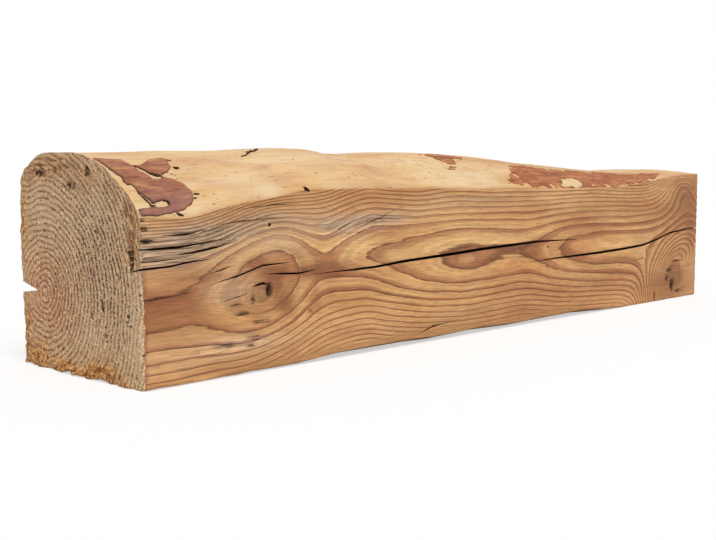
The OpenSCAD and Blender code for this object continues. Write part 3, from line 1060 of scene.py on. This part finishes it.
def sawn_pine():
    """Weathered flat-sawn pine: matt, with a strong two-tone figure and streaks of fibre."""
    material, tree, shader = new_material("sawn_pine")
    on = carried(tree, ("rings", "grey", "brown", "honey", "worn", "knot", "torn", "saw"), {
        "fibre": (110, 2.6, 2.6, 4), "wander": (34, 5, 5, 2), "blotch": (150, 45, 45, 3),
        "fading": (130, 40, 14, 2), "dash": (15, 1.0, 1.0, 2), "grain": (3, 1.2, 1.2, 2),
        "rosy": (80, 40, 16, 3), "saw_mark": (3.4, 300, 60, 1),
    })
    moved = on["rings"]
    for name, share in RING_SHIFTS.items():
        shift = add(tree, "Math", {0: on[name], 1: 0.5}, operation="SUBTRACT")
        moved = add(tree, "Math", {0: shift, 1: share, 2: moved}, operation="MULTIPLY_ADD")
    along = add(tree, "SeparateXYZ", {0: add(tree, "TexCoord", {}, out="Object")}, out="X")
    for name, (length, per_ring, detail) in RING_STREAKS.items():
        down = add(tree, "Math", {0: along, 1: 1 / (length * MM)}, operation="MULTIPLY")
        across = add(tree, "Math", {0: moved, 1: per_ring}, operation="MULTIPLY")
        streak_place = add(tree, "CombineXYZ", {"X": down, "Y": across})
        on[name] = add(tree, "TexNoise", {"Vector": streak_place, "Scale": 1.0, "Detail": detail})
    count = add(tree, "Math", {0: moved}, operation="FLOOR")
    season = add(tree, "TexWhiteNoise", {"W": count}, noise_dimensions="1D")
    year = add(tree, "Math", {0: moved}, operation="FRACT")
    crowded = add(tree, "MapRange", {VALUE: moved, LOW: 2, HIGH: 5, TO_LOW: 0.85, TO_HIGH: 1.45})
    growth = add(tree, "MapRange", {VALUE: season, TO_LOW: 0.85, TO_HIGH: 1.2})
    growth = add(tree, "Math", {0: growth, 1: crowded}, operation="MULTIPLY")
    year = add(tree, "Math", {0: year, 1: growth}, operation="POWER")
    late, edge = [
        add(tree, "ValToRGB", {"Fac": year}, stops=[(place, grey(level)) for place, level in stops])
        for stops in (LATE_STOPS, EDGE_STOPS)
    ]
    unworn = add(tree, "MapRange", {VALUE: on["worn"], TO_LOW: 1, TO_HIGH: 0.12})
    keen = add(tree, "MapRange", {VALUE: season, TO_LOW: 1, TO_HIGH: 0.8})
    faded = add(tree, "MapRange", {VALUE: on["fading"], LOW: 0.35, HIGH: 0.6, TO_LOW: 0.7, TO_HIGH: 1})
    broken = add(tree, "MapRange", {VALUE: on["dash"], LOW: 0.4, HIGH: 0.6, TO_LOW: 0.25})
    weathered = add(tree, "MapRange", {VALUE: on["grey"], TO_LOW: 0.75, TO_HIGH: 1})
    for factor in (unworn, keen, faded):
        late = add(tree, "Math", {0: late, 1: factor}, operation="MULTIPLY")
    # Dark line at the end of each year's latewood: partly the ring's crisp edge, partly painted shade of the
    # step where the proud latewood drops to the next earlywood
    line = edge
    for factor in (unworn, broken, weathered):
        line = add(tree, "Math", {0: line, 1: factor}, operation="MULTIPLY")
    # Torn grain turns near-black where the tear is deepest: painted shade in the tear
    ragged = add(tree, "MapRange", {VALUE: on["dash"], LOW: 0.35, HIGH: 0.65, TO_LOW: 0.2, TO_HIGH: 1.8})
    ripped = add(tree, "Math", {0: on["torn"], 1: ragged}, operation="MULTIPLY")
    # Painted shade in the grooves of the most weathered wood, and a painted highlight on the ridges between
    # them
    shaded_furrow = add(tree, "MapRange", {VALUE: on["groove"], LOW: 0.55, HIGH: 0.6})
    worst = add(tree, "MapRange", {VALUE: on["grey"], LOW: 0.7, HIGH: 1})
    shaded_furrow = add(tree, "Math", {0: shaded_furrow, 1: worst}, operation="MULTIPLY")
    crest = add(tree, "MapRange", {VALUE: on["groove"], LOW: 0.46, HIGH: 0.38})
    crest = add(tree, "Math", {0: crest, 1: worst}, operation="MULTIPLY")
    early_colour = layered(tree, linear("#deaf77"), [
        (on["blotch"], 0.35, 0.7, 1, linear("#c48a54")), (on["rosy"], 0.52, 0.7, 0.45, linear("#c4865c")),
        (on["honey"], 0, 1, 0.75, linear("#e4ba7e")),
    ])
    late_colour = layered(tree, linear("#b0704a"), [(on["blotch"], 0.3, 0.7, 1, linear("#92583a"))])
    wood = layered(tree, early_colour, [
        (late, 0, 1, 1, late_colour), (on["worn"], 0, 1, 0.6, linear("#ab7a4c")),
        (on["brown"], 0, 1, 0.9, linear("#915a3b")), (on["grey"], 0, 1, 0.68, linear("#cfb296")),
        # Painted highlight on the weathered ridges, partly painted shade in the ring's dark line, and painted
        # shade in the grooves
        (crest, 0, 1, 0.5, linear("#d2bda2")), (line, 0, 1, 0.92, linear("#563420")),
        (shaded_furrow, 0, 1, 0.65, linear("#5c3c28")), (on["knot"], 0, 1, 0.75, linear("#a07c50")),
        # Painted shade in the deepest tears
        (ripped, 1.0, 2.4, 0.9, linear("#3a2314")),
    ])
    wood = tinted(tree, wood, [
        (on["pencil"], 0.3, 0.7, 0.8, 1.16), (on["fibre"], 0.3, 0.7, 0.92, 1.07),
        (on["dash"], 0.3, 0.7, 0.8, 1.13),
    ])
    scratch = add(tree, "Math", {0: on["saw_mark"], 1: on["saw"]}, operation="MULTIPLY")
    proud = add(tree, "MapRange", {VALUE: on["grey"], TO_LOW: 0.5, TO_HIGH: 2})
    ridge = add(tree, "Math", {0: late, 1: proud}, operation="MULTIPLY")
    heights = [
        (ridge, 1), (line, -1.2), (shaded_furrow, -1.4), (ripped, -0.4), (on["pencil"], 0.6), (on["dash"], 0.5),
        (on["grain"], 0.3), (scratch, 2),
    ]
    coat(tree, shader, wood, heights, 0.8, 0.78, 0.3)
    return material


sawn_face = sawn_pine()
print(sawn_face.name, "nodes:", len(sawn_face.node_tree.nodes))

# %% [markdown]
# ## End grain
# Across the ends the saw has cut every fibre, so the surface is fuzzy, greyer and full of tiny pits.
# The rings show as rows of dark dots, the heart is pinkish, and where the edge crumbles fresh
# orange wood shows, with painted shade between the crumbs. Deep pits, and tiny dark specks that
# stand for pits, are painted near-black as shade. The rings here use their own ring number, counted
# round the pith, and so do the strings of fibre that are pulled out along the upper edges.

# %% Material of the sawn ends
END_LATE_STOPS = [(0, 0.3), (0.2, 0), (0.5, 0.1), (0.8, 1), (0.92, 1), (1, 0.3)]
# Tones of the crumbs from their sunk parts to their raised ones: the dark first tone is painted shade between
# the crumbs, the rest the orange and pale of fresh wood
CRUMB_TONES_AND_SHADE = [(0.36, "#5a3014"), (0.45, "#a8682e"), (0.54, "#c88a48"), (0.66, "#e4bc80")]
STRING_LENGTH = 7.0
STRINGS_PER_RING = 1.6


def rough_end_grain():
    """Dry end grain of pine: very matt, dotted along its rings, with orange crumbs at the edges that carry
    painted shade between them.
    """
    material, tree, shader = new_material("rough_end_grain")
    on = carried(tree, ("end_rings", "crumbled", "stringy", "heart", "pale", "dry", "pits"), {
        "wander": (40, 14, 14, 2), "dots": (30, 1.9, 1.9, 1), "blotch": (60, 26, 26, 3),
        "crumbs": (6, 3.0, 2.8, 3), "fuzz": (2, 1.2, 1.2, 2), "fleck": (8, 2.2, 2.2, 1),
        "hole": (30, 3.4, 3.0, 1),
    })
    shift = add(tree, "Math", {0: on["wander"], 1: 0.5}, operation="SUBTRACT")
    moved = add(tree, "Math", {0: shift, 1: 0.5, 2: on["end_rings"]}, operation="MULTIPLY_ADD")
    year = add(tree, "Math", {0: moved}, operation="FRACT")
    stops = [(place, grey(level)) for place, level in END_LATE_STOPS]
    late = add(tree, "ValToRGB", {"Fac": year}, stops=stops)
    rough = add(tree, "MapRange", {VALUE: on["pale"], TO_LOW: 1, TO_HIGH: 0.3})
    dried = add(tree, "MapRange", {VALUE: on["dry"], TO_LOW: 0.7, TO_HIGH: 1})
    dots = add(tree, "MapRange", {VALUE: on["dots"], LOW: 0.48, HIGH: 0.56})
    for factor in (late, rough, dried):
        dots = add(tree, "Math", {0: dots, 1: factor}, operation="MULTIPLY")
    place = add(tree, "TexCoord", {}, out="Object")
    width, height = [add(tree, "SeparateXYZ", {0: place}, out=axis) for axis in ("Y", "Z")]
    around = add(tree, "Math", {0: width, 1: height}, operation="SUBTRACT")
    around = add(tree, "Math", {0: around, 1: 1 / (STRING_LENGTH * MM)}, operation="MULTIPLY")
    outward = add(tree, "Math", {0: moved, 1: STRINGS_PER_RING}, operation="MULTIPLY")
    string_place = add(tree, "CombineXYZ", {"X": around, "Y": outward})
    strings = add(tree, "TexNoise", {"Vector": string_place, "Scale": 1.0, "Detail": 2.0})
    gouge = add(tree, "MapRange", {VALUE: strings, LOW: 0.5, HIGH: 0.58})
    gouge = add(tree, "Math", {0: gouge, 1: on["stringy"]}, operation="MULTIPLY")
    # Pits are painted near-black where they are deepest: painted shade in the pits
    ragged = add(tree, "MapRange", {VALUE: on["crumbs"], LOW: 0.4, HIGH: 0.6, TO_LOW: 0.1, TO_HIGH: 1.8})
    pits = add(tree, "Math", {0: on["pits"], 1: ragged}, operation="MULTIPLY")
    # The darkest tone of the crumbs is painted shade between them
    tones = [(place, linear(tone)) for place, tone in CRUMB_TONES_AND_SHADE]
    crumb_colour_and_shade = add(tree, "ValToRGB", {"Fac": on["crumbs"]}, stops=tones)
    wood = layered(tree, linear("#e2be94"), [
        (on["blotch"], 0.3, 0.7, 1, linear("#c69c74")), (on["pale"], 0, 1, 0.65, linear("#d8bb94")),
        (on["dry"], 0, 1, 0.45, linear("#be9f7f")), (on["heart"], 0, 1, 0.65, linear("#c98c64")),
        (late, 0, 1, 0.42, linear("#936a4a")), (on["fleck"], 0.56, 0.68, 0.7, linear("#f0d8b4")),
        # The hole specks are painted shade of tiny open pits, with no relief under them
        (dots, 0, 1, 0.95, linear("#4c2f19")), (on["hole"], 0.66, 0.72, 0.85, linear("#452b1a")),
        (on["stringy"], 0, 1, 0.7, linear("#d09c6c")), (gouge, 0, 1, 0.85, linear("#64381c")),
        # Painted shade in the deepest pits, and in the dark tone of the crumbs
        (on["crumbled"], 0, 1, 0.9, crumb_colour_and_shade), (pits, 0.8, 2.0, 0.9, linear("#3a2414")),
    ])
    wood = tinted(tree, wood, [(on["fuzz"], 0.3, 0.7, 0.66, 1.18)])
    heights = [(on["crumbs"], 1), (on["fuzz"], 0.8), (dots, -1.2), (gouge, -1.5)]
    coat(tree, shader, wood, heights, 1.2, 0.92, 0.2)
    return material


end_face = rough_end_grain()
print(end_face.name, "nodes:", len(end_face.node_tree.nodes))

# %% [markdown]
# ## The natural top
# Under the bark a tree is smooth and pale. Years of drying leave it cream, with faint tan and pink
# stains that run along the trunk, small dark specks and a soft sheen from many hands.

# %% Material of the natural top


def bare_sapwood():
    """Debarked sapwood: smooth cream wood with faint stains along the grain and a soft sheen."""
    material, tree, shader = new_material("bare_sapwood")
    on = carried(tree, ("stain", "bleached"), {
        "cloud": (130, 34, 60, 3), "fibre": (90, 3.2, 5, 4), "pink": (45, 22, 30, 2),
        "speck": (7, 3.5, 3.5, 1), "grain": (14, 1.4, 1.4, 2), "dapple": (26, 8, 12, 3),
    })
    wood = layered(tree, linear("#dcbe92"), [
        (on["cloud"], 0.3, 0.52, 1, linear("#d5af7a")), (on["cloud"], 0.52, 0.7, 1, linear("#c5945e")),
        (on["pink"], 0.52, 0.7, 0.55, linear("#c39276")), (on["dapple"], 0.54, 0.7, 0.4, linear("#b5844f")),
        (on["fibre"], 0.55, 0.75, 0.5, linear("#b4844e")), (on["fibre"], 0.42, 0.25, 0.4, linear("#e4cca2")),
        (on["stain"], 0, 1, 0.75, linear("#b5804f")), (on["bleached"], 0, 1, 0.6, linear("#dec9a6")),
        (on["speck"], 0.69, 0.75, 0.7, linear("#7a5030")),
    ])
    coat(tree, shader, wood, [(on["fibre"], 0.5), (on["grain"], 0.25), (on["dapple"], 0.4)], 0.6, 0.6, 0.35)
    return material


top_face = bare_sapwood()
print(top_face.name, "nodes:", len(top_face.node_tree.nodes))

# %% [markdown]
# ## Inside the checks, and the bark
# The walls of a check are torn wood, coloured a very dark brown, and the same material makes the
# painted shadow sheets beside the bark. Inner bark is redder than the wood, flaky, with painted
# shade along its broken edge, and greyish purple where it is thickest.

# %% Materials of the check walls and the bark
# Tones of the check walls, very dark brown; on the sheets beside the bark they stand for painted shadow
WALL_TONES = [(0.3, "#241309"), (0.5, "#382011"), (0.7, "#55361d")]
NEAR_BARK_TONES = [(0.34, "#6c3c2a"), (0.45, "#925a44"), (0.55, "#a56e50"), (0.66, "#c08c60")]
FAR_BARK_TONES = [(0.34, "#743f28"), (0.45, "#985a3a"), (0.55, "#ab6d47"), (0.64, "#c6925e")]
# Depth behind the front face over which the thick purple bark gives way to the red
PURPLE_BARK = (12, 30)


def torn_fibre(name, tones, roughness, purple=0.0, edge=0.0):
    """Torn fibrous stuff whose colour runs through several tones of stretched noise, with painted shade along
    torn inner edges.
    """
    material, tree, shader = new_material(name)
    on = carried(tree, ("rim",), {"streak": (26, 7, 9, 4), "thread": (8, 1.6, 2, 3)})
    tone = add(tree, "Mix", {0: 0.5, 2: on["streak"], 3: on["thread"]}, data_type="FLOAT")
    stops = [(place, linear(colour)) for place, colour in tones]
    fibre = add(tree, "ValToRGB", {"Fac": tone}, stops=stops)
    place = add(tree, "TexCoord", {}, out="Object")
    depth = add(tree, "SeparateXYZ", {0: place}, out="Y")
    start, end = [low_corner.y + reach * MM for reach in PURPLE_BARK]
    fibre = layered(tree, fibre, [
        # Painted shade: the bark darkens towards its torn inner edges
        (depth, end, start, purple, linear("#8c645e")), (on["rim"], 2.4, 0.5, edge, linear("#3c2014")),
    ])
    coat(tree, shader, fibre, [(on["streak"], 1), (on["thread"], 0.7)], 0.8, roughness, 0.25)
    return material


check_wall_and_shadow = torn_fibre("torn_check_wall_and_shadow", WALL_TONES, 0.95)
# edge sets the strength of the painted shade along the bark's torn inner edges
near_bark_skin = torn_fibre("inner_bark_red", NEAR_BARK_TONES, 0.75, purple=0.5, edge=0.92)
far_bark_skin = torn_fibre("inner_bark_tan", FAR_BARK_TONES, 0.8, edge=0.4)
for material in (sawn_face, end_face, top_face, check_wall_and_shadow):
    beam.data.materials.append(material)
# The dark sheets beside the bark take the check walls' material as painted shadow
finishes = {
    near_bark: near_bark_skin, far_bark: far_bark_skin, crest_bark: far_bark_skin, splinters_and_shadows: check_wall_and_shadow,
}
for piece, material in finishes.items():
    piece.data.materials.append(material)
print("materials:", [material.name for material in bpy.data.materials if material.users])

# %% [markdown]
# ## Studio
# The beam lies on a pale floor in soft, even light, so that its colours come out as they are written.
# One broad sun above the front makes the natural top the brightest side. To the camera the floor and
# the world are white, but the floor still takes part of its tone from the light, so the shadow stays.

# %% Floor, world and sun
FLOOR_HALF = 8.0
FLOOR_GLOW = 0.55
WORLD_LIGHT = 0.4
SUN_STRENGTH = 2.5
SUN_SPREAD = 40
SUN_FROM = (-0.27, -0.39, 0.88)


def seen_by_camera(tree):
    """1 for rays that draw the picture, straight or through a glossy or clear surface."""
    rays = tree.nodes.new("ShaderNodeLightPath").outputs
    seen = rays["Is Camera Ray"]
    for name in ("Is Glossy Ray", "Is Transmission Ray"):
        seen = add(tree, "Math", {0: seen, 1: rays[name]}, operation="MAXIMUM")
    return seen


floor_mesh = bmesh.new()
bmesh.ops.create_grid(floor_mesh, x_segments=1, y_segments=1, size=FLOOR_HALF)
floor = new_object("studio_floor", floor_mesh)
floor_material, tree, shader = new_material("pale_floor")
shader.inputs["Base Color"].default_value = linear("#f4f4f4")
shader.inputs["Roughness"].default_value = 0.9
glow = add(tree, "Math", {0: seen_by_camera(tree), 1: FLOOR_GLOW}, operation="MULTIPLY")
white = add(tree, "Emission", {"Color": grey(1), "Strength": 1.0})
mixed = add(tree, "MixShader", {0: glow, 1: shader.outputs["BSDF"], 2: white})
tree.links.new(mixed, tree.nodes["Material Output"].inputs["Surface"])
floor.data.materials.append(floor_material)

world = bpy.data.worlds.new("studio_world")
world.use_nodes = True
bpy.context.scene.world = world
background = world.node_tree.nodes["Background"]
background.inputs["Color"].default_value = grey(1)
seen = seen_by_camera(world.node_tree)
strength = add(world.node_tree, "MapRange", {VALUE: seen, TO_LOW: WORLD_LIGHT, TO_HIGH: 1})
world.node_tree.links.new(strength, background.inputs["Strength"])

sun_data = bpy.data.lights.new("broad_sun", "SUN")
sun_data.energy = SUN_STRENGTH
sun_data.angle = math.radians(SUN_SPREAD)
sun = bpy.data.objects.new("broad_sun", sun_data)
sun.rotation_euler = (-Vector(SUN_FROM)).to_track_quat("-Z", "Y").to_euler()
bpy.context.scene.collection.objects.link(sun)
print("sun strength", sun_data.energy, "and world light", WORLD_LIGHT)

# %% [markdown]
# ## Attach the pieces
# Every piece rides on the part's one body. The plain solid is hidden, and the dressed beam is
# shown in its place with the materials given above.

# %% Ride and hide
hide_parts("beam")
for piece in (beam, *finishes):
    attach(piece, "root")
